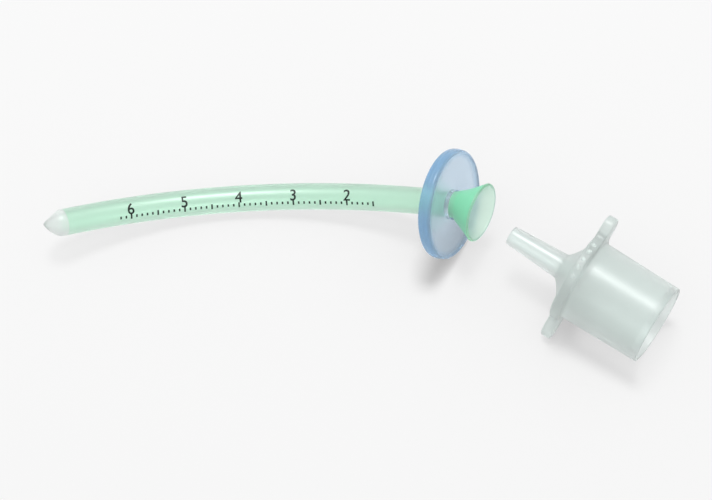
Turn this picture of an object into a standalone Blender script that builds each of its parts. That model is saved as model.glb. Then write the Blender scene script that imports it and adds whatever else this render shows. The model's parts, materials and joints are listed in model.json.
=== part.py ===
"""Nasopharyngeal airway: curved soft tube with a flared end, bevelled soft tip,
sliding flange and, lying beside it, the 15 mm connector that plugs into the tube.

Run with: blender --background --python part.py
Metres, +Z up. The pieces lie on the plane z = 0 and the origin is at the centre of
their outline on it.
"""
import math

import bmesh
import bpy
from mathutils import Matrix, Vector

MM = 0.001

# Airway tube: one moulding with its flared end. The outer size and the 3.5 mm bore
# that the wall leaves are what a 14 French airway has.
TUBE_DIAMETER = 4.7 * MM
TUBE_WALL = 0.6 * MM
TUBE_CURVE_RADIUS = 70.0 * MM
TUBE_LENGTH = 72.0 * MM
TUBE_SIDES = 32
TUBE_STEPS = 26

# Flared end, which starts at the flange and droops a little out of the tube's plane.
FLARE_LENGTH = 5.0 * MM
FLARE_MOUTH_DIAMETER = 10.6 * MM
FLARE_WALL = 0.6 * MM
FLARE_CURVE_POWER = 1.15
FLARE_DROOP = math.radians(11.0)
FLARE_BEND_LENGTH = 1.4 * MM
FLARE_STEPS = 8
FLARE_LIP_STEPS = 4

# Soft tip: a hollow nose, turned up a little at its apex, with one bevelled opening.
TIP_LENGTH = 3.8 * MM
TIP_STRAIGHT = 0.4 * MM
TIP_NOSE_WALL = 0.7 * MM
TIP_NOSE_POWER = 1.9
TIP_NOSE_FULLNESS = 0.9
TIP_APEX_LIFT = 0.35 * MM
TIP_BEVEL_START = 0.3 * MM
TIP_BEVEL_END_HEIGHT = 0.55 * MM
TIP_BEVEL_ROLL = math.radians(35.0)
TIP_STEPS = 10
TIP_JOINT_GAP = 0.1 * MM

# Flange: a round plate that slides on the tube, stops against the flare and, being a
# loose fit, sits a little askew.
FLANGE_DIAMETER = 19.6 * MM
FLANGE_THICKNESS = 2.4 * MM
FLANGE_RIM_ROUNDING = 0.7 * MM
FLANGE_HOLE_ROUNDING = 0.2 * MM
FLANGE_SLIDING_CLEARANCE = 0.25 * MM
FLANGE_SKEW = math.radians(3.0)
FLANGE_SIDES = 56
CORNER_STEPS = 3

# Connector, from its open mouth to the end of its spigot.
BARREL_MOUTH_DIAMETER = 14.6 * MM
BARREL_BASE_DIAMETER = 15.0 * MM
BARREL_LENGTH = 15.0 * MM
BARREL_MOUTH_WALL = 1.1 * MM
BARREL_ROOT_WALL = 1.6 * MM
BARREL_FLOOR_THICKNESS = 1.0 * MM
PLATE_THICKNESS = 1.9 * MM
PLATE_COLLAR_WIDTH = 0.9 * MM
PLATE_WING_LENGTH = 3.8 * MM
PLATE_WING_WIDTH = 3.8 * MM
PLATE_WING_FILLET = 1.2 * MM
PLATE_EDGE_ROUNDING = 0.4 * MM
WING_END_STEPS = 5
WING_FILLET_STEPS = 4
COLLAR_STEPS = 11
SHOULDER_LENGTH = 2.8 * MM
SHOULDER_SETBACK = 2.1 * MM
SHOULDER_CURVE_POWER = 1.4
SHOULDER_STEPS = 5
SPIGOT_LENGTH = 10.4 * MM
SPIGOT_ROOT_DIAMETER = 4.6 * MM
SPIGOT_END_DIAMETER = 3.4 * MM
SPIGOT_ROOT_WALL = 0.8 * MM
SPIGOT_END_WALL = 0.5 * MM
SPIGOT_STEPS = 3
FUNNEL_LENGTH = 3.4 * MM
FUNNEL_STEPS = 5
EDGE_ROUNDING = 0.2 * MM

# How the pieces lie. Headings are turned about +Z from +X, and the roll of the
# tube's plane is turned about the tube where it leaves the flange.
FLANGE_FACE_PLACE = Vector((17.4 * MM, 3.6 * MM))
AIRWAY_HEADING = math.radians(-21.5)
AIRWAY_ROLL = math.radians(-52.9)
CONNECTOR_MOUTH_PLACE = Vector((52.0 * MM, -18.9 * MM))
CONNECTOR_HEADING = math.radians(-33.7)

LOWEST_PITCH = math.radians(3.0)
HIGHEST_PITCH = math.radians(70.0)
PITCH_HALVINGS = 50
MERGE_DISTANCE = 0.0001 * MM
SHARP_EDGE_ANGLE = math.radians(35.0)


def clear_scene():
    for item in list(bpy.data.objects):
        bpy.data.objects.remove(item, do_unlink=True)


def plastic(name, colour, roughness, alpha):
    material = bpy.data.materials.new(name)
    material.use_nodes = True
    shader = material.node_tree.nodes["Principled BSDF"]
    shader.inputs["Base Color"].default_value = (*colour, 1.0)
    shader.inputs["Roughness"].default_value = roughness
    shader.inputs["Metallic"].default_value = 0.0
    shader.inputs["IOR"].default_value = 1.53
    shader.inputs["Alpha"].default_value = alpha
    return material


def add_empty(name, matrix):
    empty = bpy.data.objects.new(name, None)
    bpy.context.collection.objects.link(empty)
    empty.matrix_world = matrix
    return empty


def finish_mesh(name, bm, parent, material):
    """Turn a bmesh into a smooth-shaded object carried by an empty."""
    bmesh.ops.recalc_face_normals(bm, faces=bm.faces)
    mesh = bpy.data.meshes.new(name)
    bm.to_mesh(mesh)
    bm.free()
    mesh.shade_smooth()
    mesh.set_sharp_from_angle(angle=SHARP_EDGE_ANGLE)
    mesh.materials.append(material)
    item = bpy.data.objects.new(name, mesh)
    bpy.context.collection.objects.link(item)
    item.parent = parent
    return item


def loft(rings):
    """A closed skin through rings of equal counts, the last one joined to the first."""
    bm = bmesh.new()
    loops = [[bm.verts.new(point) for point in ring] for ring in rings]
    count = len(loops[0])
    for here, there in zip(loops, loops[1:] + loops[:1]):
        for i in range(count):
            j = (i + 1) % count
            bm.faces.new((here[i], here[j], there[j], there[i]))
    return bm


def turned(section, sides):
    """Spin a closed section, given as (along X, radius) points, about the X axis. A side
    of the section that lies on the axis makes no face."""
    bm = bmesh.new()
    points = [bm.verts.new((along, 0.0, radius)) for along, radius in section]
    pairs = zip(points, points[1:] + points[:1])
    edges = [bm.edges.new((a, b)) for a, b in pairs if a.co.z > 0.0 or b.co.z > 0.0]
    bmesh.ops.spin(
        bm,
        geom=points + edges,
        cent=(0.0, 0.0, 0.0),
        axis=(1.0, 0.0, 0.0),
        angle=math.tau,
        steps=sides,
        use_merge=True,
    )
    bmesh.ops.remove_doubles(bm, verts=bm.verts, dist=MERGE_DISTANCE)
    bmesh.ops.dissolve_degenerate(bm, edges=bm.edges, dist=MERGE_DISTANCE)
    return bm


def arc_points(centre, radius, start, end, steps):
    """Points of an arc in a plane, from the start angle to the end angle."""
    turns = [start + (end - start) * i / steps for i in range(steps + 1)]
    middle = Vector(centre)
    return [middle + radius * Vector((math.cos(turn), math.sin(turn))) for turn in turns]


def quarter_arc(centre, radius, start):
    """Points of a quarter circle, anticlockwise from the start angle."""
    return arc_points(centre, radius, start, start + math.pi / 2, CORNER_STEPS)


def airway_directions(pitch):
    """Directions along the tube at the flange face, across its plane and towards the
    centre of its curve."""
    along = Vector((
        math.cos(pitch) * math.cos(AIRWAY_HEADING),
        math.cos(pitch) * math.sin(AIRWAY_HEADING),
        math.sin(pitch),
    ))
    side = Vector((0.0, 0.0, 1.0)).cross(along).normalized()
    upward = along.cross(side)
    inward = math.cos(AIRWAY_ROLL) * upward + math.sin(AIRWAY_ROLL) * side
    return along, inward.cross(along), inward


def flange_height(pitch):
    """Height of the flange face's centre when the tube's low point is on the floor."""
    along, _, inward = airway_directions(pitch)
    drop = math.hypot(along.z, inward.z) - inward.z
    return TUBE_DIAMETER / 2 + TUBE_CURVE_RADIUS * drop


def flange_reach(pitch):
    """Depth of the flange's rounded rim below the flange face's centre."""
    along, across, _ = airway_directions(pitch)
    tilt = math.cos(FLANGE_SKEW) * along.z - math.sin(FLANGE_SKEW) * across.z
    round_off = FLANGE_RIM_ROUNDING
    rim = (FLANGE_DIAMETER / 2 - round_off) * math.sqrt(1.0 - tilt * tilt)
    edge = (FLANGE_THICKNESS / 2 - round_off) * abs(tilt)
    return FLANGE_THICKNESS / 2 * along.z + rim + edge + round_off


def resting_pitch():
    """Pitch of the tube at the flange at which the tube's low point and the flange's
    rim both touch the floor."""
    low, high = LOWEST_PITCH, HIGHEST_PITCH
    for _ in range(PITCH_HALVINGS):
        pitch = (low + high) / 2
        if flange_height(pitch) > flange_reach(pitch):
            high = pitch
        else:
            low = pitch
    return pitch


def airway_matrix():
    """Frame of the airway: origin at the centre of the tube's curve, X along the tube
    at the flange face towards the flare, Z from that face towards the origin."""
    pitch = resting_pitch()
    along, across, inward = airway_directions(pitch)
    face = Vector((*FLANGE_FACE_PLACE, flange_height(pitch)))
    centre = face + TUBE_CURVE_RADIUS * inward
    turn = Matrix((along, across, inward)).transposed().to_4x4()
    return Matrix.Translation(centre) @ turn


def tube_ring(centre, along, across, radius):
    """A ring of points square to the tube."""
    third = along.cross(across)
    turns = [math.tau * i / TUBE_SIDES for i in range(TUBE_SIDES)]
    return [centre + radius * (math.cos(t) * across + math.sin(t) * third) for t in turns]


def curve_station(distance):
    """Centre, direction and cross direction of the tube at a distance from the flange
    face towards the tip, in the airway's frame."""
    turn = distance / TUBE_CURVE_RADIUS
    centre = TUBE_CURVE_RADIUS * Vector((-math.sin(turn), 0.0, -math.cos(turn)))
    along = Vector((math.cos(turn), 0.0, -math.sin(turn)))
    return centre, along, Vector((0.0, 1.0, 0.0))


def flare_stations():
    """Centre, direction and cross direction along the flare, from the flange face out."""
    centre = curve_station(0.0)[0]
    step = FLARE_LENGTH / FLARE_STEPS
    stations = []
    for i in range(FLARE_STEPS + 1):
        droop = FLARE_DROOP * min(1.0, i * step / FLARE_BEND_LENGTH)
        along = Vector((math.cos(droop), -math.sin(droop), 0.0))
        across = Vector((math.sin(droop), math.cos(droop), 0.0))
        if i > 0:
            centre = centre + step * along
        stations.append((centre, along, across))
    return stations


def make_airway_tube(parent):
    outer = []
    inner = []
    for i in range(TUBE_STEPS):
        station = curve_station(TUBE_LENGTH * (1.0 - i / TUBE_STEPS))
        outer.append(tube_ring(*station, TUBE_DIAMETER / 2))
        inner.append(tube_ring(*station, TUBE_DIAMETER / 2 - TUBE_WALL))
    for i, station in enumerate(flare_stations()):
        share = (i / FLARE_STEPS) ** FLARE_CURVE_POWER
        radius = TUBE_DIAMETER / 2 + share * (FLARE_MOUTH_DIAMETER - TUBE_DIAMETER) / 2
        wall = TUBE_WALL + share * (FLARE_WALL - TUBE_WALL)
        outer.append(tube_ring(*station, radius))
        inner.append(tube_ring(*station, radius - wall))
    centre, along, across = station
    lip = []
    for i in range(1, FLARE_LIP_STEPS):
        turn = math.pi * i / FLARE_LIP_STEPS
        reach = FLARE_WALL / 2 * math.sin(turn)
        radius = FLARE_MOUTH_DIAMETER / 2 - FLARE_WALL / 2 * (1.0 - math.cos(turn))
        lip.append(tube_ring(centre + reach * along, along, across, radius))
    material = plastic("mint_soft_pvc", (0.42, 0.84, 0.62), 0.25, 0.75)
    return finish_mesh("airway_tube", loft(outer + lip + inner[::-1]), parent, material)


def nose_radius(along, length, root_radius):
    """Radius of the nose at a distance from its root: a rounded, slightly lean bullet."""
    share = max(0.0, (along - TIP_STRAIGHT) / (length - TIP_STRAIGHT))
    return root_radius * (1.0 - share ** TIP_NOSE_POWER) ** TIP_NOSE_FULLNESS


def nose_section(length, root_radius, steps):
    """Points of a nose from its root to its apex, closer together near the apex."""
    stations = [length * math.sin(math.pi / 2 * i / steps) for i in range(steps)]
    section = [(along, nose_radius(along, length, root_radius)) for along in stations]
    return section + [(length, 0.0)]


def make_soft_tip(parent):
    """The nose is made along +X, its opening facing +Y, then set on the tube's end."""
    outer = nose_section(TIP_LENGTH, TUBE_DIAMETER / 2, TIP_STEPS)
    inner = nose_section(TIP_LENGTH - TIP_NOSE_WALL, TUBE_DIAMETER / 2 - TUBE_WALL, TIP_STEPS)
    bm = turned(outer + inner[::-1], TUBE_SIDES)
    for vertex in bm.verts:
        vertex.co.y += TIP_APEX_LIFT * (vertex.co.x / TIP_LENGTH) ** 2

    centre, along, across = curve_station(TUBE_LENGTH + TIP_JOINT_GAP)
    turn = Matrix((-along, across, (-along).cross(across))).transposed().to_4x4()
    place = Matrix.Translation(centre) @ turn @ Matrix.Rotation(TIP_BEVEL_ROLL, 4, "X")
    material = plastic("clear_soft_pvc", (0.86, 0.93, 0.90), 0.3, 0.55)
    tip = finish_mesh("soft_tip", bm, parent, material)
    tip.matrix_local = place

    rise = TUBE_DIAMETER / 2 - TIP_BEVEL_END_HEIGHT
    run = TIP_LENGTH - TIP_BEVEL_START
    slope = math.atan2(rise, run)
    size = 2.0 * (TIP_LENGTH + TUBE_DIAMETER)
    cutter_mesh = bpy.data.meshes.new("bevel_cutter")
    cutter_bm = bmesh.new()
    bmesh.ops.create_cube(cutter_bm, size=size)
    bmesh.ops.translate(cutter_bm, verts=cutter_bm.verts, vec=(0.0, size / 2, 0.0))
    cutter_bm.to_mesh(cutter_mesh)
    cutter_bm.free()
    cutter = bpy.data.objects.new("bevel_cutter", cutter_mesh)
    bpy.context.collection.objects.link(cutter)
    cutter.parent = parent
    start = Matrix.Translation((TIP_BEVEL_START, TUBE_DIAMETER / 2, 0.0))
    cutter.matrix_local = place @ start @ Matrix.Rotation(-slope, 4, "Z")
    cutter.hide_render = True
    cutter.display_type = "WIRE"
    cut = tip.modifiers.new("bevel", "BOOLEAN")
    cut.operation = "DIFFERENCE"
    cut.solver = "EXACT"
    cut.object = cutter
    return tip


def make_flange(parent):
    """The flange's origin is the centre of the tube's curve, about which it slides."""
    hole = TUBE_DIAMETER / 2 + FLANGE_SLIDING_CLEARANCE
    rim = FLANGE_DIAMETER / 2
    back = -FLANGE_THICKNESS
    corner = FLANGE_RIM_ROUNDING
    bite = FLANGE_HOLE_ROUNDING
    section = quarter_arc((-corner, rim - corner), corner, 0.0)
    section += quarter_arc((back + corner, rim - corner), corner, math.pi / 2)
    section += quarter_arc((back + bite, hole + bite), bite, math.pi)
    section += quarter_arc((-bite, hole + bite), bite, 1.5 * math.pi)
    bm = turned(section, FLANGE_SIDES)
    middle = Matrix.Translation((back / 2, 0.0, 0.0))
    skew = middle @ Matrix.Rotation(-FLANGE_SKEW, 4, "Z") @ middle.inverted()
    bm.transform(Matrix.Translation(curve_station(0.0)[0]) @ skew)
    material = plastic("blue_soft_pvc", (0.48, 0.62, 0.84), 0.3, 0.8)
    return finish_mesh("flange_disc", bm, parent, material)


def collar_radius():
    return BARREL_BASE_DIAMETER / 2 + PLATE_COLLAR_WIDTH


def plate_outline():
    """Outline of the plate: a round collar with two round-ended wings, filleted into it.
    Its points are also the directions in which the round rings have theirs."""
    collar = collar_radius()
    half_width = PLATE_WING_WIDTH / 2
    fillet = PLATE_WING_FILLET
    fillet_y = half_width + fillet
    fillet_x = math.sqrt((collar + fillet) ** 2 - fillet_y ** 2)
    collar_start = math.atan2(fillet_y, fillet_x)
    tip_x = collar + PLATE_WING_LENGTH - half_width
    right = math.pi / 2
    quarter = arc_points((tip_x, 0.0), half_width, 0.0, right, WING_END_STEPS)
    quarter.append(Vector(((tip_x + fillet_x) / 2, half_width)))
    corner = (fillet_x, fillet_y)
    quarter += arc_points(corner, fillet, -right, collar_start - math.pi, WING_FILLET_STEPS)
    quarter += arc_points((0.0, 0.0), collar, collar_start, right, COLLAR_STEPS)[1:]
    half = quarter + [Vector((-p.x, p.y)) for p in quarter[-2::-1]]
    return half + [-p for p in half[1:-1]]


def make_connector(parent):
    """One moulding, made along X with +X out of the mouth and X = 0 at the plate."""
    outline = plate_outline()
    directions = [point.normalized() for point in outline]

    def round_ring(along, radius):
        return [Vector((along, radius * d.x, radius * d.y)) for d in directions]

    def plate_ring(along, inset):
        return [Vector((along, *(point - inset * d))) for point, d in zip(outline, directions)]

    spigot_root = -PLATE_THICKNESS - SHOULDER_LENGTH
    spigot_end = spigot_root - SPIGOT_LENGTH
    mouth = BARREL_LENGTH
    funnel_top = BARREL_FLOOR_THICKNESS
    mouth_bore = BARREL_MOUTH_DIAMETER / 2 - BARREL_MOUTH_WALL
    floor_bore = BARREL_BASE_DIAMETER / 2 - BARREL_ROOT_WALL
    spigot_root_bore = SPIGOT_ROOT_DIAMETER / 2 - SPIGOT_ROOT_WALL
    spigot_end_bore = SPIGOT_END_DIAMETER / 2 - SPIGOT_END_WALL
    edge = EDGE_ROUNDING
    round_off = PLATE_EDGE_ROUNDING
    bevel = round_off * (1.0 - math.sqrt(0.5))

    spigot_rise = (SPIGOT_ROOT_DIAMETER - SPIGOT_END_DIAMETER) / 2
    outer = [
        round_ring(spigot_end, SPIGOT_END_DIAMETER / 2 - edge),
        round_ring(spigot_end + edge, SPIGOT_END_DIAMETER / 2),
    ]
    for i in range(1, SPIGOT_STEPS):
        share = i / SPIGOT_STEPS
        radius = SPIGOT_END_DIAMETER / 2 + share * spigot_rise
        outer.append(round_ring(spigot_end + share * SPIGOT_LENGTH, radius))
    shoulder_rise = collar_radius() - SHOULDER_SETBACK - SPIGOT_ROOT_DIAMETER / 2
    for i in range(SHOULDER_STEPS + 1):
        share = i / SHOULDER_STEPS
        along = spigot_root + SHOULDER_LENGTH * share
        radius = SPIGOT_ROOT_DIAMETER / 2 + shoulder_rise * share ** SHOULDER_CURVE_POWER
        outer.append(round_ring(along, radius))
    outer += [
        plate_ring(-PLATE_THICKNESS, round_off),
        plate_ring(-PLATE_THICKNESS + bevel, bevel),
        plate_ring(-PLATE_THICKNESS + round_off, 0.0),
        plate_ring(-round_off, 0.0),
        plate_ring(-bevel, bevel),
        plate_ring(0.0, round_off),
        round_ring(0.0, BARREL_BASE_DIAMETER / 2),
        round_ring(mouth - edge, BARREL_MOUTH_DIAMETER / 2),
        round_ring(mouth, BARREL_MOUTH_DIAMETER / 2 - edge),
    ]
    inner = [
        round_ring(mouth, mouth_bore + edge),
        round_ring(mouth - edge, mouth_bore),
        round_ring(funnel_top, floor_bore),
    ]
    funnel_rise = floor_bore - spigot_root_bore
    for i in range(1, FUNNEL_STEPS + 1):
        turn = math.pi / 2 * i / FUNNEL_STEPS
        along = funnel_top - FUNNEL_LENGTH * (1.0 - math.cos(turn))
        radius = floor_bore - funnel_rise * math.sin(turn)
        inner.append(round_ring(along, radius))
    inner += [
        round_ring(spigot_end + edge, spigot_end_bore),
        round_ring(spigot_end, spigot_end_bore + edge),
    ]
    material = plastic("clear_hard_plastic", (0.78, 0.85, 0.84), 0.12, 0.45)
    return finish_mesh("circuit_connector", loft(outer + inner), parent, material)


def connector_matrix():
    """The connector lies on its mouth's rim, its collar and the end of one wing, which
    sets its tilt and its roll."""
    collar = collar_radius()
    half_width = PLATE_WING_WIDTH / 2
    tilt = math.atan2(collar - BARREL_MOUTH_DIAMETER / 2, BARREL_LENGTH)
    roll = math.asin((collar - half_width) / (collar + PLATE_WING_LENGTH - half_width))
    turn = Matrix.Rotation(CONNECTOR_HEADING, 4, "Z") @ Matrix.Rotation(tilt, 4, "Y")
    mouth = Vector((*CONNECTOR_MOUTH_PLACE, BARREL_MOUTH_DIAMETER / 2 * math.cos(tilt)))
    plate = mouth - turn @ Vector((BARREL_LENGTH, 0.0, 0.0))
    return Matrix.Translation(plate) @ turn @ Matrix.Rotation(roll, 4, "X")


def lowest_point(item):
    return min((item.matrix_world @ vertex.co).z for vertex in item.data.vertices)


def centre_on_origin(empties):
    """Move the empties so that the middle of all the pieces' outline is at the origin."""
    bpy.context.view_layer.update()
    pieces = [item for item in bpy.data.objects if item.type == "MESH" and not item.hide_render]
    points = [item.matrix_world @ vertex.co for item in pieces for vertex in item.data.vertices]
    for axis in (0, 1):
        values = [point[axis] for point in points]
        middle = (min(values) + max(values)) / 2
        for empty in empties:
            empty.location[axis] -= middle


def main():
    clear_scene()
    airway = add_empty("airway_curve_centre", airway_matrix())
    make_airway_tube(airway)
    make_soft_tip(airway)
    make_flange(airway)
    lying_connector = add_empty("connector_plate_centre", connector_matrix())
    connector = make_connector(lying_connector)
    bpy.context.view_layer.update()
    lying_connector.location.z -= lowest_point(connector)
    centre_on_origin((airway, lying_connector))


main()
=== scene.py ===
import json
import math

import bmesh
import bpy
from mathutils import Matrix, Vector


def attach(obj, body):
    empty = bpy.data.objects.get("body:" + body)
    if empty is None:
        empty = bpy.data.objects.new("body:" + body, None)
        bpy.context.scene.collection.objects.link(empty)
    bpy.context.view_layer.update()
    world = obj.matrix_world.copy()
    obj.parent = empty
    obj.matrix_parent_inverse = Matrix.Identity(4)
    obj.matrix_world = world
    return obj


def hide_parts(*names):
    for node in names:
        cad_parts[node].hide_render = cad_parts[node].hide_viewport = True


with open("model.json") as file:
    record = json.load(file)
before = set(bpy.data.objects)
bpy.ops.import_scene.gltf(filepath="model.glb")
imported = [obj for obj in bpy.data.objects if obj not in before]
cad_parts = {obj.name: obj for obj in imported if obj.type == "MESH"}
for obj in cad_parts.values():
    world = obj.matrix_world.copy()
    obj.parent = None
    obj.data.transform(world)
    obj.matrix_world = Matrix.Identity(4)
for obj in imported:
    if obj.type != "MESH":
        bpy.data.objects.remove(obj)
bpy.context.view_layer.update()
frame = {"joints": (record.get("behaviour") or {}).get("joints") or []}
print("frame loaded")

mm = 0.001
rightAngle = math.pi / 2
creaseAngle = math.radians(35.0)  # edges sharper than this stay crisp


def linearColour(hexText):
    # sRGB hex to Blender's linear colour
    parts = [int(hexText[i:i + 2], 16) / 255 for i in (0, 2, 4)]
    bent = [p / 12.92 if p <= 0.04045 else ((p + 0.055) / 1.055) ** 2.4 for p in parts]
    return (*bent, 1.0)


def addNode(tree, kind, inputs=None, **settings):
    # inputs: socket name or number to a constant or to another node's output
    node = tree.nodes.new(kind)
    for name, value in settings.items():
        setattr(node, name, value)
    for name, value in (inputs or {}).items():
        if isinstance(value, bpy.types.NodeSocket):
            tree.links.new(value, node.inputs[name])
        else:
            node.inputs[name].default_value = value
    return node


def newMaterial(name):
    material = bpy.data.materials.new(name)
    material.use_nodes = True
    material.node_tree.nodes.clear()
    return material, material.node_tree


def shadeSoftly(mesh):
    mesh.shade_smooth()
    mesh.set_sharp_from_angle(angle=creaseAngle)


def newPiece(name, bm, material):
    bmesh.ops.recalc_face_normals(bm, faces=bm.faces)
    mesh = bpy.data.meshes.new(name)
    bm.to_mesh(mesh)
    bm.free()
    shadeSoftly(mesh)
    mesh.materials.append(material)
    piece = bpy.data.objects.new(name, mesh)
    bpy.context.collection.objects.link(piece)
    return piece


def plainMesh(thing):
    # what modifiers or letters work out to, as a plain mesh
    bpy.context.view_layer.update()
    graph = bpy.context.evaluated_depsgraph_get()
    return bpy.data.meshes.new_from_object(thing.evaluated_get(graph))


def applied(piece):
    mesh = plainMesh(piece)
    piece.modifiers.clear()
    piece.data = mesh
    return piece


def skin(rings):
    # faces through rings of equal counts, with the last ring joined to the first
    bm = bmesh.new()
    loops = [[bm.verts.new(point) for point in ring] for ring in rings]
    count = len(loops[0])
    for here, there in zip(loops, loops[1:] + loops[:1]):
        for i in range(count):
            j = (i + 1) % count
            bm.faces.new((here[i], here[j], there[j], there[i]))
    return bm


def evenShares(steps):
    return [i / steps for i in range(steps + 1)]


def quarterTurn(steps):
    return [rightAngle * i / steps for i in range(steps + 1)]


def arcOf(centre, radius, start, end, steps):
    turns = [start + (end - start) * i / steps for i in range(steps + 1)]
    x, y = centre
    return [Vector((x + radius * math.cos(t), y + radius * math.sin(t))) for t in turns]


def spunAboutX(section, sides):
    # a closed section of (along, radius) points, turned about X
    tiny = 0.0001 * mm
    bm = bmesh.new()
    points = [bm.verts.new((along, 0.0, radius)) for along, radius in section]
    pairs = zip(points, points[1:] + points[:1])
    edges = [bm.edges.new((a, b)) for a, b in pairs if a.co.z > 0.0 or b.co.z > 0.0]
    bmesh.ops.spin(bm, geom=points + edges, cent=(0, 0, 0), axis=(1, 0, 0),
                   angle=math.tau, steps=sides, use_merge=True)
    bmesh.ops.remove_doubles(bm, verts=bm.verts, dist=tiny)
    bmesh.ops.dissolve_degenerate(bm, edges=bm.edges, dist=tiny)
    return bm


plastics = {
    # skin: tint of each surface; body: tint that builds up with thickness, by density
    # clearness: the rest is milky; roughness blurs reflections and what is seen through
    # grain: width of the skin's ripples
    # shade: how much lamp light the body soaks up on its way to what lies beneath, per metre
    # deepSkin, deepClearness: skin and clearness where gathering() is 1
    # on the tube's flare that is a painted glow, at the flange's rim partly a painted glow, on the
    # connector its clearer thin walls
    "tube": {
        "skin": "EBFFF4", "deepSkin": "A6FFD3", "body": "5EFFBE", "density": 90.0,
        "clearness": 0.92, "deepClearness": 0.45, "roughness": 0.35, "ior": 1.5,
        "grain": 1.6 * mm, "shade": 72.0,
    },
    "disc": {
        "skin": "E3F0FB", "deepSkin": "AEDAFD", "body": "52CBF6", "density": 40.0,
        "clearness": 0.94, "deepClearness": 0.6, "roughness": 0.24, "ior": 1.45,
        "grain": 2.4 * mm, "shade": 155.0,
    },
    "tip": {
        "skin": "FAFFFD", "body": "ECF8F3", "density": 32.0,
        "clearness": 0.74, "roughness": 0.36, "ior": 1.4,
        "grain": 0.9 * mm, "shade": 60.0,
    },
    "hard": {
        "skin": "EEF7F4", "deepSkin": "F6FDFB", "body": "D0E2DD", "density": 31.0,
        "clearness": 0.62, "deepClearness": 0.85, "roughness": 0.34, "ior": 1.45,
        "grain": 4.0 * mm, "shade": 70.0,
    },
}

plasticSkin = {
    # smoothest, roughest: how far the ripples vary the roughness; lampPass: lamp light let in
    "rippleStrength": 0.15, "rippleDepth": 0.05 * mm, "rippleDetail": 3.0,
    "smoothest": 0.8, "roughest": 1.2, "lampPass": 0.98,
}


def clearPlastic(name, p, gathering=None):
    # light passes through; some of the tint builds up with thickness, so edges are deeper
    s = plasticSkin
    material, tree = newMaterial(name)
    place = addNode(tree, "ShaderNodeTexCoord").outputs
    ripple = addNode(tree, "ShaderNodeTexNoise",
                     {"Vector": place["Object"], "Scale": 1 / p["grain"],
                      "Detail": s["rippleDetail"], "Roughness": 0.55}).outputs["Fac"]
    lift = addNode(tree, "ShaderNodeBump",
                   {"Height": ripple, "Strength": s["rippleStrength"],
                    "Distance": s["rippleDepth"]})
    rough = addNode(tree, "ShaderNodeMapRange",
                    {"Value": ripple, "To Min": p["roughness"] * s["smoothest"],
                     "To Max": p["roughness"] * s["roughest"]})
    look = {
        "Base Color": linearColour(p["skin"]), "IOR": p["ior"],
        "Transmission Weight": p["clearness"],
        "Roughness": rough.outputs["Result"], "Normal": lift.outputs["Normal"],
    }
    if gathering:
        share = gathering(tree, place)
        tint = addNode(tree, "ShaderNodeMix",
                       {0: share, 6: linearColour(p["skin"]), 7: linearColour(p["deepSkin"])},
                       data_type="RGBA")
        clear = addNode(tree, "ShaderNodeMapRange",
                        {"Value": share, "To Min": p["clearness"], "To Max": p["deepClearness"]})
        look["Base Color"] = tint.outputs[2]
        look["Transmission Weight"] = clear.outputs["Result"]
    shader = addNode(tree, "ShaderNodeBsdfPrincipled", look)
    soak = addNode(tree, "ShaderNodeVolumeAbsorption",
                   {"Color": linearColour(p["body"]), "Density": p["density"]})

    # lamp light goes straight through to what lies beneath, and only loses strength
    through = addNode(tree, "ShaderNodeBsdfTransparent", {"Color": (*3 * [s["lampPass"]], 1.0)})
    shade = addNode(tree, "ShaderNodeVolumeAbsorption",
                    {"Color": linearColour("000000"), "Density": p["shade"]})
    ray = addNode(tree, "ShaderNodeLightPath").outputs
    lighting = addNode(tree, "ShaderNodeMath",
                       {0: ray["Is Shadow Ray"], 1: ray["Is Diffuse Ray"]},
                       operation="MAXIMUM").outputs["Value"]
    surface = addNode(tree, "ShaderNodeMixShader",
                      {0: lighting, 1: shader.outputs["BSDF"], 2: through.outputs["BSDF"]})
    volume = addNode(tree, "ShaderNodeMixShader",
                     {0: lighting, 1: soak.outputs["Volume"], 2: shade.outputs["Volume"]})
    addNode(tree, "ShaderNodeOutputMaterial",
            {"Surface": surface.outputs["Shader"], "Volume": volume.outputs["Shader"]})
    return material


# plasticised PVC, dipped: milky, a little matt
clearSoftPvc = clearPlastic("clearSoftPvcDipped", plastics["tip"])

ink = {
    "colour": "0B0E0F", "worn": "1C2724", "speckle": 0.25 * mm,
    "smoothest": 0.35, "roughest": 0.6, "ior": 1.5,
}


def makeInk():
    # pad-printed vinyl ink: flat black film with a slight sheen, a little worn in specks
    material, tree = newMaterial("blackPadPrintedInk")
    spot = addNode(tree, "ShaderNodeTexCoord").outputs["Object"]
    speckle = addNode(tree, "ShaderNodeTexNoise",
                      {"Vector": spot, "Scale": 1 / ink["speckle"], "Detail": 2.0}).outputs["Fac"]
    shade = addNode(tree, "ShaderNodeMix",
                    {0: speckle, 6: linearColour(ink["colour"]), 7: linearColour(ink["worn"])},
                    data_type="RGBA")
    rough = addNode(tree, "ShaderNodeMapRange",
                    {"Value": speckle, "To Min": ink["smoothest"], "To Max": ink["roughest"]})
    shader = addNode(tree, "ShaderNodeBsdfPrincipled",
                     {"IOR": ink["ior"], "Base Color": shade.outputs[2],
                      "Roughness": rough.outputs["Result"]})
    addNode(tree, "ShaderNodeOutputMaterial", {"Surface": shader.outputs["BSDF"]})
    return material


blackInk = makeInk()
print("materials made")


tubeSizes = {
    "diameter": 4.7 * mm, "bore": 3.5 * mm, "curveRadius": 70.0 * mm, "length": 72.0 * mm,
    "sides": 96, "steps": 120,
    "flareLength": 5.0 * mm, "flareMouth": 10.6 * mm, "flareWall": 0.6 * mm, "flarePower": 1.15,
    "flareDroop": 11.0, "flareBend": 1.4 * mm, "flareSteps": 28, "lipSteps": 8,
    # the painted green glow comes in between these places past the flange's front
    "paintedGlowStart": -3.5 * mm, "paintedGlowFull": 1.5 * mm,
    # and between these, by how far a face looks the mouth's way
    "paintedGlowMouth": 0.2, "paintedGlowOutside": -0.15,
}

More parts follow.
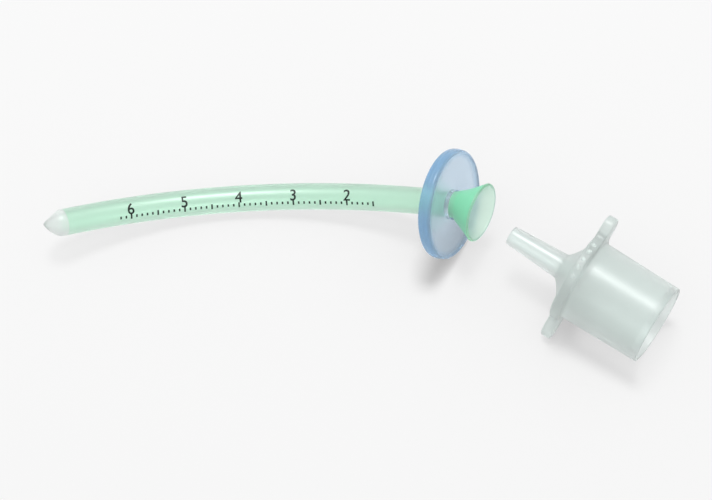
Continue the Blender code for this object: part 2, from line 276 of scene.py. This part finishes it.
slide = frame["joints"][0]
curveCentre = Vector(slide["pos_m"])
curveAxis = Vector(slide["axis"]).normalized()
alongTube = Vector((0.866386, -0.341279, 0.364559))  # at the flange, towards the flare
alongTube = (alongTube - alongTube.dot(curveAxis) * curveAxis).normalized()
towardsCentre = alongTube.cross(curveAxis)
airwayTurn = Matrix((alongTube, curveAxis, towardsCentre)).transposed().to_4x4()
airwayPlace = Matrix.Translation(curveCentre) @ airwayTurn
flangeSpot = airwayPlace @ Vector((0.0, 0.0, -tubeSizes["curveRadius"]))


def outsideFlare(tree, place):
    # share of the flare's painted green glow: 1 on the outer skin of the flare, less under the
    # flange, 0 in its mouth and along the tube
    s = tubeSizes
    ahead = addNode(tree, "ShaderNodeVectorMath", {0: place["Object"], 1: flangeSpot},
                    operation="SUBTRACT")
    reach = addNode(tree, "ShaderNodeVectorMath", {0: ahead.outputs[0], 1: alongTube},
                    operation="DOT_PRODUCT")
    past = addNode(tree, "ShaderNodeMapRange",
                   {"Value": reach.outputs["Value"],
                    "From Min": s["paintedGlowStart"], "From Max": s["paintedGlowFull"]})
    facing = addNode(tree, "ShaderNodeVectorMath", {0: place["Normal"], 1: alongTube},
                     operation="DOT_PRODUCT")
    outer = addNode(tree, "ShaderNodeMapRange",
                    {"Value": facing.outputs["Value"],
                     "From Min": s["paintedGlowMouth"], "From Max": s["paintedGlowOutside"]})
    return addNode(tree, "ShaderNodeMath", {0: past.outputs[0], 1: outer.outputs[0]},
                   operation="MULTIPLY").outputs[0]


# plasticised PVC, extruded: wet-looking skin with faint drawn ripples, and a painted green glow on
# the flare's outside
mintSoftPvc = clearPlastic("mintSoftPvcExtruded", plastics["tube"], outsideFlare)


def tubeStation(distance):
    # centre, direction and cross direction of the tube, from the flange towards the tip
    turn = distance / tubeSizes["curveRadius"]
    centre = tubeSizes["curveRadius"] * Vector((-math.sin(turn), 0.0, -math.cos(turn)))
    return centre, Vector((math.cos(turn), 0.0, -math.sin(turn))), Vector((0.0, 1.0, 0.0))


def roundRing(centre, along, across, radius, sides):
    third = along.cross(across)
    turns = [math.tau * i / sides for i in range(sides)]
    return [centre + radius * (math.cos(t) * across + math.sin(t) * third) for t in turns]


def makeSoftTube():
    s = tubeSizes
    outer = []
    inner = []
    for i in range(s["steps"]):
        station = tubeStation(s["length"] * (1.0 - i / s["steps"]))
        outer.append(roundRing(*station, s["diameter"] / 2, s["sides"]))
        inner.append(roundRing(*station, s["bore"] / 2, s["sides"]))

    # the flare widens and leans a little as it leaves the flange
    tubeWall = (s["diameter"] - s["bore"]) / 2
    centre = tubeStation(0.0)[0]
    step = s["flareLength"] / s["flareSteps"]
    for i in range(s["flareSteps"] + 1):
        droop = math.radians(s["flareDroop"]) * min(1.0, i * step / s["flareBend"])
        along = Vector((math.cos(droop), -math.sin(droop), 0.0))
        across = Vector((math.sin(droop), math.cos(droop), 0.0))
        if i > 0:
            centre = centre + step * along
        share = (i / s["flareSteps"]) ** s["flarePower"]
        radius = s["diameter"] / 2 + share * (s["flareMouth"] - s["diameter"]) / 2
        wall = tubeWall + share * (s["flareWall"] - tubeWall)
        outer.append(roundRing(centre, along, across, radius, s["sides"]))
        inner.append(roundRing(centre, along, across, radius - wall, s["sides"]))

    lip = []
    for i in range(1, s["lipSteps"]):
        turn = math.pi * i / s["lipSteps"]
        reach = s["flareWall"] / 2 * math.sin(turn)
        radius = s["flareMouth"] / 2 - s["flareWall"] / 2 * (1.0 - math.cos(turn))
        lip.append(roundRing(centre + reach * along, along, across, radius, s["sides"]))
    bm = skin(outer + lip + inner[::-1])
    bm.transform(airwayPlace)
    return newPiece("softTube", bm, mintSoftPvc)


softTube = makeSoftTube()
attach(softTube, "airway")
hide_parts("airway_tube")
print("soft tube made")


inkSizes = {
    # a plain depth scale; the numbers are centimetres from the flange
    "firstTick": 15.0 * mm, "tickSpacing": 1.0 * mm, "tickCount": 48, "longEvery": 5,
    "tickWidth": 0.3 * mm, "shortTick": 0.5 * mm, "longTick": 0.95 * mm, "tickCuts": 7,
    "facing": 75.0, "tickOffset": 1.0 * mm, "film": 0.03 * mm, "lift": 0.012 * mm,
    "numbers": (2, 3, 4, 5, 6), "numberSpacing": 10.0 * mm, "numberHeight": 2.0 * mm,
    "fontSize": 1.4, "boldness": 0.035 * mm, "numberOffset": -0.3 * mm,
    "numberCuts": 14, "cutReach": 0.7, "roundSteps": 6,
}


def treeOf(name, inputs):
    # an empty node tree with a geometry output and named inputs; gives it and their sockets
    tree = bpy.data.node_groups.new(name, "GeometryNodeTree")
    sockets = tree.interface
    sockets.new_socket("Geometry", in_out="OUTPUT", socket_type="NodeSocketGeometry")
    for label, value in inputs.items():
        kind = "NodeSocketInt" if isinstance(value, int) else "NodeSocketFloat"
        sockets.new_socket(label, in_out="INPUT", socket_type=kind).default_value = value
    return tree, addNode(tree, "NodeGroupInput").outputs


def grown(name, tree, inputs, material):
    # the tree's shape as a plain piece
    piece = newPiece(name, bmesh.new(), material)
    modifier = piece.modifiers.new(name, "NODES")
    modifier.node_group = tree
    for item in tree.interface.items_tree:
        if item.in_out == "INPUT":
            modifier[item.identifier] = inputs[item.name]
    return applied(piece)


def makeDepthTicks():
    # laid out flat, X along the tube and Y round it, then wrapped round the tube and its curve
    s = inkSizes
    inputs = {
        "Curve Radius": tubeSizes["curveRadius"], "Tube Radius": tubeSizes["diameter"] / 2,
        "Facing": math.radians(s["facing"]), "First Tick": s["firstTick"],
        "Tick Spacing": s["tickSpacing"], "Tick Count": s["tickCount"],
        "Long Every": s["longEvery"], "Tick Width": s["tickWidth"],
        "Short Tick": s["shortTick"], "Extra Length": s["longTick"] - s["shortTick"],
        "Tick Offset": s["tickOffset"], "Film": s["film"], "Lift": s["lift"] + s["film"] / 2,
    }
    tree, given = treeOf("depthTicks", inputs)
    start = addNode(tree, "ShaderNodeCombineXYZ",
                    {"X": given["First Tick"], "Y": given["Tick Offset"]})
    step = addNode(tree, "ShaderNodeCombineXYZ", {"X": given["Tick Spacing"]})
    row = addNode(tree, "GeometryNodeMeshLine",
                  {"Count": given["Tick Count"], "Start Location": start.outputs[0],
                   "Offset": step.outputs[0]})
    index = addNode(tree, "GeometryNodeInputIndex").outputs[0]
    left = addNode(tree, "ShaderNodeMath", {0: index, 1: given["Long Every"]},
                   operation="MODULO")
    isLong = addNode(tree, "ShaderNodeMath", {0: left.outputs[0], 1: 0.5},
                     operation="LESS_THAN")
    length = addNode(tree, "ShaderNodeMath",
                     {0: isLong.outputs[0], 1: given["Extra Length"], 2: given["Short Tick"]},
                     operation="MULTIPLY_ADD")
    size = addNode(tree, "ShaderNodeCombineXYZ",
                   {"X": given["Tick Width"], "Y": 1.0, "Z": given["Film"]})
    block = addNode(tree, "GeometryNodeMeshCube",
                    {"Size": size.outputs[0], "Vertices X": 2, "Vertices Y": s["tickCuts"],
                     "Vertices Z": 2})
    scale = addNode(tree, "ShaderNodeCombineXYZ", {"X": 1.0, "Y": length.outputs[0], "Z": 1.0})
    ticks = addNode(tree, "GeometryNodeInstanceOnPoints",
                    {"Points": row.outputs["Mesh"], "Instance": block.outputs["Mesh"],
                     "Scale": scale.outputs[0]})
    flat = addNode(tree, "GeometryNodeRealizeInstances", {"Geometry": ticks.outputs["Instances"]})

    place = addNode(tree, "GeometryNodeInputPosition")
    spot = addNode(tree, "ShaderNodeSeparateXYZ", {0: place.outputs[0]}).outputs
    turn = addNode(tree, "ShaderNodeMath", {0: spot["X"], 1: given["Curve Radius"]},
                   operation="DIVIDE")
    side = addNode(tree, "ShaderNodeMath", {0: spot["Y"], 1: given["Tube Radius"]},
                   operation="DIVIDE")
    angle = addNode(tree, "ShaderNodeMath", {0: side.outputs[0], 1: given["Facing"]},
                    operation="ADD")
    proud = addNode(tree, "ShaderNodeMath", {0: spot["Z"], 1: given["Lift"]},
                    operation="ADD")
    high = addNode(tree, "ShaderNodeMath", {0: proud.outputs[0], 1: given["Tube Radius"]},
                   operation="ADD")
    arm = addNode(tree, "ShaderNodeCombineXYZ", {"Y": high.outputs[0]})
    rounded = addNode(tree, "ShaderNodeVectorRotate",
                      {"Vector": arm.outputs[0], "Angle": angle.outputs[0]},
                      rotation_type="X_AXIS")
    drop = addNode(tree, "ShaderNodeCombineXYZ", {"Z": given["Curve Radius"]})
    lowered = addNode(tree, "ShaderNodeVectorMath", {0: rounded.outputs[0], 1: drop.outputs[0]},
                      operation="SUBTRACT")
    bent = addNode(tree, "ShaderNodeVectorRotate",
                   {"Vector": lowered.outputs[0], "Angle": turn.outputs[0]},
                   rotation_type="Y_AXIS")
    laid = addNode(tree, "GeometryNodeSetPosition",
                   {"Geometry": flat.outputs[0], "Position": bent.outputs[0]})
    inked = addNode(tree, "GeometryNodeSetMaterial",
                    {"Geometry": laid.outputs[0], "Material": blackInk})
    addNode(tree, "NodeGroupOutput", {0: inked.outputs[0]})
    ticks = grown("depthTicks", tree, inputs, blackInk)
    ticks.data.transform(airwayPlace)
    return ticks


def wrappedOnTube(point):
    # the ticks' wrapping, for the numbers
    s = inkSizes
    turn = point.x / tubeSizes["curveRadius"]
    angle = (point.y + s["numberOffset"]) / (tubeSizes["diameter"] / 2) + math.radians(s["facing"])
    high = tubeSizes["diameter"] / 2 + s["lift"] + s["film"] / 2 + point.z
    inwards = high * math.sin(angle) - tubeSizes["curveRadius"]
    return Vector((inwards * math.sin(turn), high * math.cos(angle), inwards * math.cos(turn)))


def makeDepthNumbers():
    # the letters are drawn and cut in millimetres, then wrapped on the tube in metres
    s = inkSizes
    height = s["numberHeight"] / mm
    numbers = bmesh.new()
    for number in s["numbers"]:
        letter = bpy.data.curves.new("number", "FONT")
        letter.body = str(number)
        letter.align_x = "CENTER"
        letter.align_y = "CENTER"
        letter.size = height * s["fontSize"]
        letter.extrude = s["film"] / mm / 2
        letter.resolution_u = s["roundSteps"]
        shape = bpy.data.objects.new("number", letter)
        bpy.context.collection.objects.link(shape)
        mesh = plainMesh(shape)
        bpy.data.objects.remove(shape, do_unlink=True)
        along = number * s["numberSpacing"] / mm
        mesh.transform(Matrix.Translation((along, 0, 0)) @ Matrix.Rotation(math.pi, 4, "Z"))
        numbers.from_mesh(mesh)
    bmesh.ops.remove_doubles(numbers, verts=numbers.verts, dist=0.001)

    # bolder: each outline moves outwards
    numbers.normal_update()
    for vertex in numbers.verts:
        walls = [face.normal for face in vertex.link_faces if abs(face.normal.z) < 0.5]
        vertex.co += s["boldness"] / mm * sum(walls, Vector()).normalized()

    # cut across into strips, which can bend round the tube
    bmesh.ops.triangulate(numbers, faces=numbers.faces)
    for share in evenShares(s["numberCuts"]):
        level = height * s["cutReach"] * (2 * share - 1)
        bmesh.ops.bisect_plane(numbers, plane_co=(0, level, 0), plane_no=(0, 1, 0),
                               geom=numbers.verts[:] + numbers.edges[:] + numbers.faces[:])
    bmesh.ops.triangulate(numbers, faces=numbers.faces)
    for vertex in numbers.verts:
        vertex.co = wrappedOnTube(vertex.co * mm)
    numbers.transform(airwayPlace)
    return newPiece("depthNumbers", numbers, blackInk)


for marks in (makeDepthTicks(), makeDepthNumbers()):
    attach(marks, "airway")
    marks.visible_shadow = False  # soft room light washes out the shadow of so thin a film
print("depth scale made")


tipSizes = {
    "length": 3.8 * mm, "straight": 0.4 * mm, "noseWall": 0.7 * mm, "apexLift": 0.35 * mm,
    "nosePower": 1.9, "noseFullness": 0.9, "bevelStart": 0.3 * mm, "bevelEndHeight": 0.55 * mm,
    "bevelRoll": 35.0, "steps": 26, "sides": 96, "jointGap": 0.02 * mm,
}


def noseSection(length, rootRadius):
    s = tipSizes
    points = []
    for turn in quarterTurn(s["steps"])[:-1]:
        along = length * math.sin(turn)
        share = max(0.0, (along - s["straight"]) / (length - s["straight"]))
        points.append((along, rootRadius * (1.0 - share ** s["nosePower"]) ** s["noseFullness"]))
    return points + [(length, 0.0)]


def makeSoftTip():
    s = tipSizes
    rootRadius = tubeSizes["diameter"] / 2
    outer = noseSection(s["length"], rootRadius)
    inner = noseSection(s["length"] - s["noseWall"], tubeSizes["bore"] / 2)
    bm = spunAboutX(outer + inner[::-1], s["sides"])
    for vertex in bm.verts:
        vertex.co.y += s["apexLift"] * (vertex.co.x / s["length"]) ** 2
    centre, along, across = tubeStation(tubeSizes["length"] + s["jointGap"])
    turn = Matrix((-along, across, (-along).cross(across))).transposed().to_4x4()
    roll = Matrix.Rotation(math.radians(s["bevelRoll"]), 4, "X")
    place = airwayPlace @ Matrix.Translation(centre) @ turn @ roll
    bm.transform(place)
    tip = newPiece("softTip", bm, clearSoftPvc)

    # the bevelled opening is cut by one face of a large cube
    slope = math.atan2(rootRadius - s["bevelEndHeight"], s["length"] - s["bevelStart"])
    size = 2.0 * (s["length"] + tubeSizes["diameter"])
    cutterBm = bmesh.new()
    bmesh.ops.create_cube(cutterBm, size=size)
    bmesh.ops.translate(cutterBm, verts=cutterBm.verts, vec=(0.0, size / 2, 0.0))
    start = Matrix.Translation((s["bevelStart"], rootRadius, 0.0))
    cutterBm.transform(place @ start @ Matrix.Rotation(-slope, 4, "Z"))
    cutter = newPiece("bevelCutter", cutterBm, clearSoftPvc)
    cut = tip.modifiers.new("bevel", "BOOLEAN")
    cut.operation = "DIFFERENCE"
    cut.solver = "EXACT"
    cut.object = cutter
    applied(tip)
    bpy.data.objects.remove(cutter, do_unlink=True)
    shadeSoftly(tip.data)
    return tip


softTip = makeSoftTip()
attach(softTip, "airway")
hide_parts("soft_tip")
print("soft tip made")


flangeSizes = {
    "diameter": 19.6 * mm, "thickness": 2.4 * mm, "clearance": 0.25 * mm, "skew": 3.0,
    "rimRounding": 0.7 * mm, "holeRounding": 0.1 * mm,
    "ridgeHeight": 0.05 * mm, "ridgeWidth": 0.1 * mm, "sides": 160, "cornerSteps": 8,
}


def nearRim(tree, place):
    # share of the rim's deeper tint and painted glow: 1 at the rim, 0 over both faces
    s = flangeSizes
    middle = flangeSpot - s["thickness"] / 2 * alongTube
    away = addNode(tree, "ShaderNodeVectorMath", {0: place["Object"], 1: middle},
                   operation="DISTANCE")
    return addNode(tree, "ShaderNodeMapRange",
                   {"Value": away.outputs["Value"], "From Max": s["diameter"] / 2,
                    "From Min": s["diameter"] / 2 - 2 * s["rimRounding"]}).outputs[0]


# plasticised PVC, injection moulded: hazy blue gel, paler on the faces; the milkier blue rim is
# partly its thick edge's tint, partly a painted glow
blueSoftPvc = clearPlastic("blueSoftPvcMoulded", plastics["disc"], nearRim)


def makeFlange():
    s = flangeSizes
    hole = tubeSizes["diameter"] / 2 + s["clearance"]
    rim = s["diameter"] / 2 - s["ridgeHeight"]
    back = -s["thickness"]
    corner = s["rimRounding"]
    bite = s["holeRounding"]
    steps = s["cornerSteps"]
    section = arcOf((-corner, rim - corner), corner, 0.0, rightAngle, steps)
    section += [Vector((back / 2 + way * s["ridgeWidth"], rim + lift * s["ridgeHeight"]))
                for way, lift in ((1.5, 0), (0.5, 1), (-0.5, 1), (-1.5, 0))]
    section += arcOf((back + corner, rim - corner), corner, rightAngle, math.pi, steps)
    section += arcOf((back + bite, hole + bite), bite, math.pi, 3 * rightAngle, steps)
    section += arcOf((-bite, hole + bite), bite, -rightAngle, 0.0, steps)
    bm = spunAboutX(section, s["sides"])
    middle = Matrix.Translation((back / 2, 0.0, 0.0))
    skew = middle @ Matrix.Rotation(-math.radians(s["skew"]), 4, "Z") @ middle.inverted()
    bm.transform(airwayPlace @ Matrix.Translation(tubeStation(0.0)[0]) @ skew)
    return newPiece("slidingFlange", bm, blueSoftPvc)


slidingFlange = makeFlange()
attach(slidingFlange, "flange")
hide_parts("flange_disc")
print("flange made")


connectorSizes = {
    "mouthDiameter": 14.6 * mm, "baseDiameter": 15.0 * mm, "length": 15.0 * mm,
    "mouthBore": 12.4 * mm, "floorBore": 11.8 * mm, "boreDepth": 14.0 * mm,
    "plateThickness": 1.9 * mm, "collar": 16.8 * mm, "plateRounding": 0.4 * mm,
    "wingSpan": 24.4 * mm, "wingWidth": 3.8 * mm, "wingFillet": 1.2 * mm,
    "shoulderLength": 2.8 * mm, "shoulderDiameter": 12.6 * mm, "shoulderPower": 1.4,
    "spigotLength": 10.4 * mm, "spigotRoot": 4.6 * mm, "spigotEnd": 3.4 * mm,
    "spigotRootBore": 3.0 * mm, "spigotEndBore": 2.4 * mm, "funnelLength": 3.4 * mm,
    "edge": 0.2 * mm, "fillet": 0.45 * mm, "leadIn": 0.45 * mm, "leadInDepth": 1.5 * mm,
    # the clearer plastic comes in between these places behind the spigot's root
    "clearStart": -1.2 * mm, "clearFull": 0.8 * mm,
    # and over this length behind the lead-in
    "clearMouth": 0.4 * mm,
    "pipCount": 5, "pipStart": 32.0, "pipSpacing": 12.0,
    "pipRadius": 0.45 * mm, "pipHeight": 0.25 * mm,
    "plateCentre": (39.020 * mm, -4.830 * mm, 8.363 * mm),
    "outOfMouth": (0.829726, -0.553359, -0.073137), "wingWay": (0.468806, 0.619761, 0.629378),
    # steps along each stretch
    "edgeSteps": 4, "spigotSteps": 12, "shoulderSteps": 18, "plateSteps": 5, "coneSteps": 14,
    "funnelSteps": 18, "wingSteps": 12, "wingFilletSteps": 8, "collarSteps": 30,
}


def whereThin(tree, place):
    # 1 along the spigot and in the chamfered mouth, 0 between them
    s = connectorSizes
    along = Vector(s["outOfMouth"]).normalized()
    root = -s["plateThickness"] - s["shoulderLength"]
    ahead = addNode(tree, "ShaderNodeVectorMath", {0: place["Object"], 1: s["plateCentre"]},
                    operation="SUBTRACT")
    reach = addNode(tree, "ShaderNodeVectorMath", {0: ahead.outputs[0], 1: along},
                    operation="DOT_PRODUCT")
    spigot = addNode(tree, "ShaderNodeMapRange",
                     {"Value": reach.outputs["Value"], "From Min": root - s["clearStart"],
                      "From Max": root - s["clearFull"]})
    throat = s["length"] - s["leadInDepth"]
    mouth = addNode(tree, "ShaderNodeMapRange",
                    {"Value": reach.outputs["Value"], "From Min": throat,
                     "From Max": throat + s["clearMouth"]})
    return addNode(tree, "ShaderNodeMath", {0: spigot.outputs[0], 1: mouth.outputs[0]},
                   operation="MAXIMUM").outputs[0]


# clear styrene, injection moulded: gloss over a faintly hazy grey-green body, clearer where thin
clearHardPlastic = clearPlastic("clearHardPlasticMoulded", plastics["hard"], whereThin)


def connectorFrame():
    along = Vector(connectorSizes["outOfMouth"]).normalized()
    wing = Vector(connectorSizes["wingWay"])
    wing = (wing - wing.dot(along) * along).normalized()
    turn = Matrix((along, wing, along.cross(wing))).transposed().to_4x4()
    return Matrix.Translation(connectorSizes["plateCentre"]) @ turn


def plateOutline():
    # the collar with its two wings: a quarter, from a wing's end to the collar's top, mirrored
    s = connectorSizes
    collar = s["collar"] / 2
    half = s["wingWidth"] / 2
    fillet = s["wingFillet"]
    filletY = half + fillet
    filletX = math.sqrt((collar + fillet) ** 2 - filletY ** 2)
    collarStart = math.atan2(filletY, filletX)
    tipX = s["wingSpan"] / 2 - half
    quarter = arcOf((tipX, 0.0), half, 0.0, rightAngle, s["wingSteps"])
    quarter += [Vector((tipX + (filletX - tipX) * share, half)) for share in (0.25, 0.5, 0.75)]
    quarter += arcOf((filletX, filletY), fillet, -rightAngle, collarStart - math.pi,
                     s["wingFilletSteps"])
    quarter += arcOf((0.0, 0.0), collar, collarStart, rightAngle, s["collarSteps"])[1:]
    side = quarter + [Vector((-p.x, p.y)) for p in quarter[-2::-1]]
    return side + [-p for p in side[1:-1]]


def makeConnector():
    s = connectorSizes
    outline = plateOutline()
    ways = [point.normalized() for point in outline]

    def ring(along, radius):
        return [Vector((along, radius * d.x, radius * d.y)) for d in ways]

    def plate(along, inset):
        return [Vector((along, *(point - inset * d))) for point, d in zip(outline, ways)]

    def rounded(along, radius, back, inwards):
        # a quarter round at an edge, from the end face to the wall
        return [ring(along + back * s["edge"] * (1 - math.cos(t)),
                     radius + inwards * s["edge"] * (1 - math.sin(t)))
                for t in quarterTurn(s["edgeSteps"])]

    def taper(start, end, startRadius, endRadius, steps):
        return [ring(start + (end - start) * share,
                     startRadius + (endRadius - startRadius) * share)
                for share in evenShares(steps)]

    back = -s["plateThickness"]
    root = back - s["shoulderLength"]
    end = root - s["spigotLength"]
    mouth = s["length"]
    floor = mouth - s["boreDepth"]
    soft = s["plateRounding"]
    fillet = s["fillet"]
    turns = quarterTurn(s["plateSteps"])

    outer = rounded(end, s["spigotEnd"] / 2, 1, -1)
    outer += taper(end, root, s["spigotEnd"] / 2, s["spigotRoot"] / 2, s["spigotSteps"])[1:-1]
    climb = (s["shoulderDiameter"] - s["spigotRoot"]) / 2
    outer += [ring(root + s["shoulderLength"] * share,
                   s["spigotRoot"] / 2 + climb * share ** s["shoulderPower"])
              for share in evenShares(s["shoulderSteps"])]
    outer += [plate(back + soft * (1 - math.cos(t)), soft * (1 - math.sin(t))) for t in turns]
    outer += [plate(-soft * (1 - math.sin(t)), soft * (1 - math.cos(t))) for t in turns]
    outer += [ring(fillet * (1 - math.cos(t)),
                   s["baseDiameter"] / 2 + fillet * (1 - math.sin(t))) for t in turns]
    outer += taper(fillet, mouth - s["edge"], s["baseDiameter"] / 2, s["mouthDiameter"] / 2,
                   s["coneSteps"])[1:-1]
    outer += rounded(mouth, s["mouthDiameter"] / 2, -1, -1)[::-1]

    inner = rounded(mouth, s["mouthBore"] / 2 + s["leadIn"], -1, 1)
    inner += taper(mouth - s["leadInDepth"], floor, s["mouthBore"] / 2, s["floorBore"] / 2,
                   s["coneSteps"])
    drop = (s["floorBore"] - s["spigotRootBore"]) / 2
    inner += [ring(floor - s["funnelLength"] * (1 - math.cos(t)),
                   s["floorBore"] / 2 - drop * math.sin(t))
              for t in quarterTurn(s["funnelSteps"])[1:]]
    inner += taper(floor - s["funnelLength"], end + s["edge"], s["spigotRootBore"] / 2,
                   s["spigotEndBore"] / 2, s["spigotSteps"])[1:-1]
    inner += rounded(end, s["spigotEndBore"] / 2, 1, 1)[::-1]
    bm = skin(outer + inner)
    bm.transform(connectorFrame())
    return newPiece("circuitConnector", bm, clearHardPlastic)


def makeCollarPips():
    # a row of plain raised pips round the collar's rim
    s = connectorSizes
    inputs = {
        "Pip Count": s["pipCount"], "First Angle": math.radians(s["pipStart"]),
        "Spacing": math.radians(s["pipSpacing"]), "Pip Radius": s["pipRadius"],
        "Pip Height": s["pipHeight"], "Ring Radius": s["collar"] / 2,
        "Along": -s["plateThickness"] / 2,
    }
    tree, given = treeOf("collarPips", inputs)
    row = addNode(tree, "GeometryNodeMeshLine", {"Count": given["Pip Count"]})
    index = addNode(tree, "GeometryNodeInputIndex").outputs[0]
    angle = addNode(tree, "ShaderNodeMath",
                    {0: index, 1: given["Spacing"], 2: given["First Angle"]},
                    operation="MULTIPLY_ADD").outputs[0]
    arm = addNode(tree, "ShaderNodeCombineXYZ", {"X": given["Along"], "Y": given["Ring Radius"]})
    spot = addNode(tree, "ShaderNodeVectorRotate", {"Vector": arm.outputs[0], "Angle": angle},
                   rotation_type="X_AXIS")
    points = addNode(tree, "GeometryNodeSetPosition",
                     {"Geometry": row.outputs[0], "Position": spot.outputs[0]})
    ball = addNode(tree, "GeometryNodeMeshUVSphere", {"Segments": 24, "Rings": 12, "Radius": 1.0})
    size = addNode(tree, "ShaderNodeCombineXYZ",
                   {"X": given["Pip Radius"], "Y": given["Pip Height"], "Z": given["Pip Radius"]})
    turn = addNode(tree, "ShaderNodeCombineXYZ", {"X": angle})
    facing = addNode(tree, "FunctionNodeEulerToRotation", {0: turn.outputs[0]})
    pips = addNode(tree, "GeometryNodeInstanceOnPoints",
                   {"Points": points.outputs[0], "Instance": ball.outputs["Mesh"],
                    "Scale": size.outputs[0], "Rotation": facing.outputs[0]})
    real = addNode(tree, "GeometryNodeRealizeInstances", {"Geometry": pips.outputs["Instances"]})
    smooth = addNode(tree, "GeometryNodeSetShadeSmooth", {"Geometry": real.outputs[0]})
    cast = addNode(tree, "GeometryNodeSetMaterial",
                   {"Geometry": smooth.outputs[0], "Material": clearHardPlastic})
    addNode(tree, "NodeGroupOutput", {0: cast.outputs[0]})
    pips = grown("collarPips", tree, inputs, clearHardPlastic)
    pips.data.transform(connectorFrame())
    return pips


circuitConnector = makeConnector()
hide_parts("circuit_connector")
for moulded in (circuitConnector, makeCollarPips()):
    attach(moulded, "airway")
print("connector made")


studio = {
    "lookAt": (-0.5337 * mm, 5.7694 * mm, 0.0), "distance": 500.0 * mm, "elevation": 61.0,
    "lens": 142.15, "sensor": 36.0, "nearest": 10.0 * mm,
    "floorColour": "F8F8F8", "floorReach": 1.5, "skyStrength": 0.51,
    "lampWay": (0.0, 0.28, 0.96), "lampDistance": 2.0, "lampSize": 0.55, "lampPower": 20.8,
}


def makeStudio():
    s = studio
    lookAt = Vector(s["lookAt"])
    tilt = math.radians(s["elevation"])
    cameraData = bpy.data.cameras.new("camera")
    cameraData.sensor_width = s["sensor"]
    cameraData.lens = s["lens"]
    cameraData.clip_start = s["nearest"]
    camera = bpy.data.objects.new("camera", cameraData)
    camera.location = lookAt + s["distance"] * Vector((0.0, -math.cos(tilt), math.sin(tilt)))
    camera.rotation_euler = (rightAngle - tilt, 0.0, 0.0)
    bpy.context.collection.objects.link(camera)
    bpy.context.scene.camera = camera

    # matt white studio table
    floorMaterial, tree = newMaterial("whiteStudioTable")
    matt = addNode(tree, "ShaderNodeBsdfPrincipled",
                   {"Base Color": linearColour(s["floorColour"]), "Roughness": 1.0,
                    "Specular IOR Level": 0.0})
    addNode(tree, "ShaderNodeOutputMaterial", {"Surface": matt.outputs["BSDF"]})
    bm = bmesh.new()
    bmesh.ops.create_grid(bm, x_segments=1, y_segments=1, size=s["floorReach"])
    floor = newPiece("studioTable", bm, floorMaterial)

    # even white room light, and one square soft lamp above
    world = bpy.data.worlds.new("softRoom")
    world.use_nodes = True
    world.node_tree.nodes.clear()
    room = addNode(world.node_tree, "ShaderNodeBackground",
                   {"Color": (1.0, 1.0, 1.0, 1.0), "Strength": s["skyStrength"]})
    addNode(world.node_tree, "ShaderNodeOutputWorld", {"Surface": room.outputs["Background"]})
    bpy.context.scene.world = world

    lampData = bpy.data.lights.new("softbox", "AREA")
    lampData.shape = "SQUARE"
    lampData.size = s["lampSize"]
    lampData.energy = s["lampPower"]
    lamp = bpy.data.objects.new("softbox", lampData)
    way = Vector(s["lampWay"]).normalized()
    lamp.location = lookAt + s["lampDistance"] * way
    lamp.rotation_euler = way.to_track_quat("Z", "Y").to_euler()
    bpy.context.collection.objects.link(lamp)


makeStudio()
bpy.context.scene.view_settings.view_transform = "Standard"
print("studio made")
